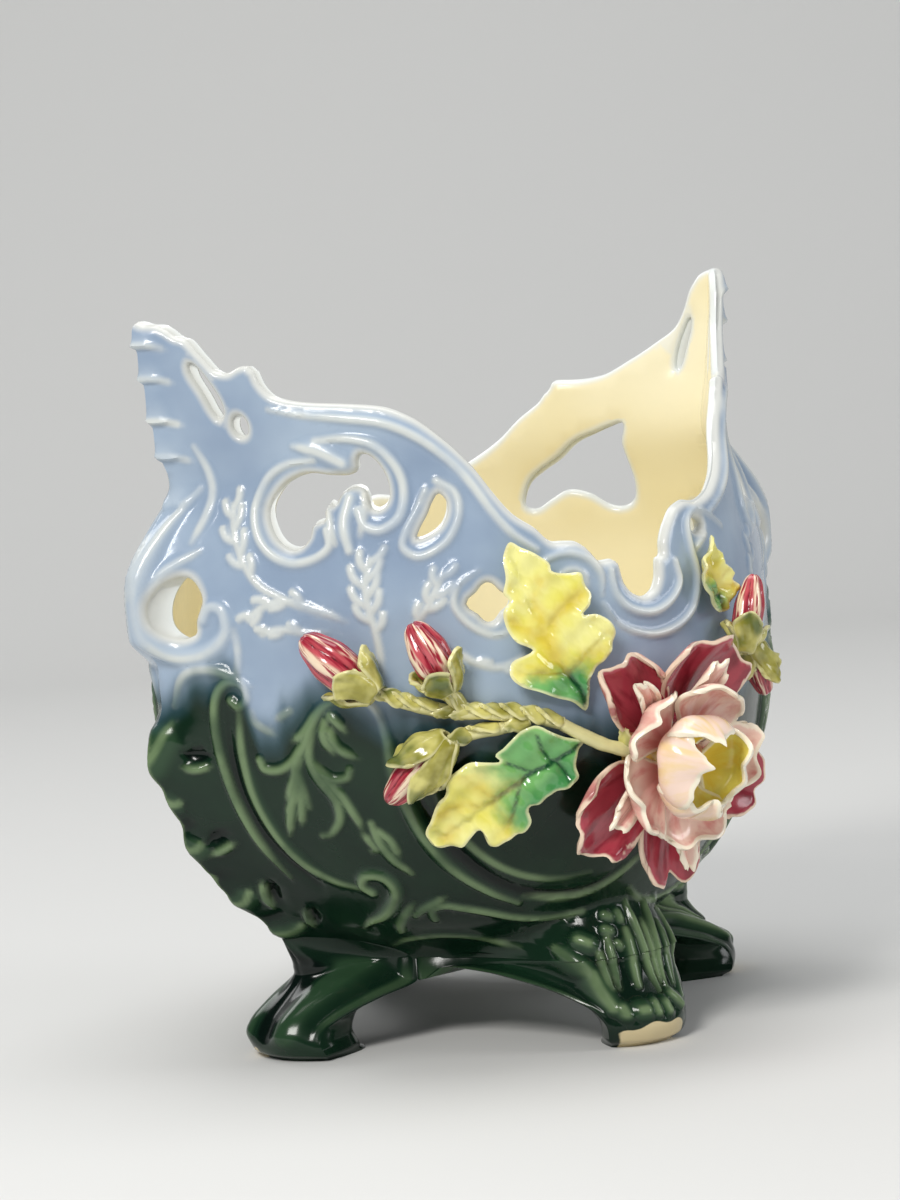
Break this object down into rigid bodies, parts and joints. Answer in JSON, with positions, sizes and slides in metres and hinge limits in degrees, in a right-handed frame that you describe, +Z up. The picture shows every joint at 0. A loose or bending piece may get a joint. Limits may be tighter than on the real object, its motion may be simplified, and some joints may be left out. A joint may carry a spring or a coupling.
{
  "type": "flower pot",
  "caption": "Boat-shaped glazed ceramic flower pot with a pierced, scrolled rim, moulded leaf relief, short feet and an applied peony spray with leaves and buds.",
  "frame": {"origin": "middle of the pot's outline, on the floor that its feet stand on", "axes": "+X along the pot from its left prow to its right one as the flower faces the viewer, -Y towards the flowered front, +Z up"},
  "size_m": [0.2646, 0.2426, 0.25],
  "materials": {
    "body_glaze": "gloss, pale blue above and bottle green below",
    "foot_glaze": "gloss, dark green",
    "crimson_glaze": "gloss, crimson with cream edges",
    "pink_glaze": "gloss, pale pink and cream",
    "leaf_glaze": "gloss, yellow running to green",
    "stem_glaze": "gloss, olive yellow"
  },
  "bodies": {
    "root": {"pot_body": "body_glaze", "foot_right": "foot_glaze", "foot_back": "foot_glaze", "foot_left": "foot_glaze", "foot_front": "foot_glaze", "flower_base": "crimson_glaze", "outer_petal_1": "crimson_glaze", "outer_petal_2": "crimson_glaze", "outer_petal_3": "crimson_glaze", "outer_petal_4": "crimson_glaze", "outer_petal_5": "crimson_glaze", "tongue_petal_1": "pink_glaze", "tongue_petal_2": "pink_glaze", "tongue_petal_3": "pink_glaze", "tongue_petal_4": "pink_glaze", "middle_petal_1": "pink_glaze", "middle_petal_2": "pink_glaze", "middle_petal_3": "pink_glaze", "middle_petal_4": "pink_glaze", "middle_petal_5": "pink_glaze", "cup_petal_1": "pink_glaze", "cup_petal_2": "pink_glaze", "cup_petal_3": "pink_glaze", "cup_petal_4": "pink_glaze", "stem_flower": "stem_glaze", "stem_main": "stem_glaze", "stem_branch_upper": "stem_glaze", "stem_branch_lower": "stem_glaze", "stem_right": "stem_glaze", "bud_1": "crimson_glaze", "bud_2": "crimson_glaze", "bud_3": "crimson_glaze", "bud_4": "crimson_glaze", "bud_5": "crimson_glaze", "sepals_1": "stem_glaze", "sepals_2": "stem_glaze", "sepals_3": "stem_glaze", "sepals_4": "stem_glaze", "sepals_5": "stem_glaze", "leaf_upper": "leaf_glaze", "leaf_lower": "leaf_glaze", "leaf_side": "leaf_glaze"}
  },
  "joints": []
}
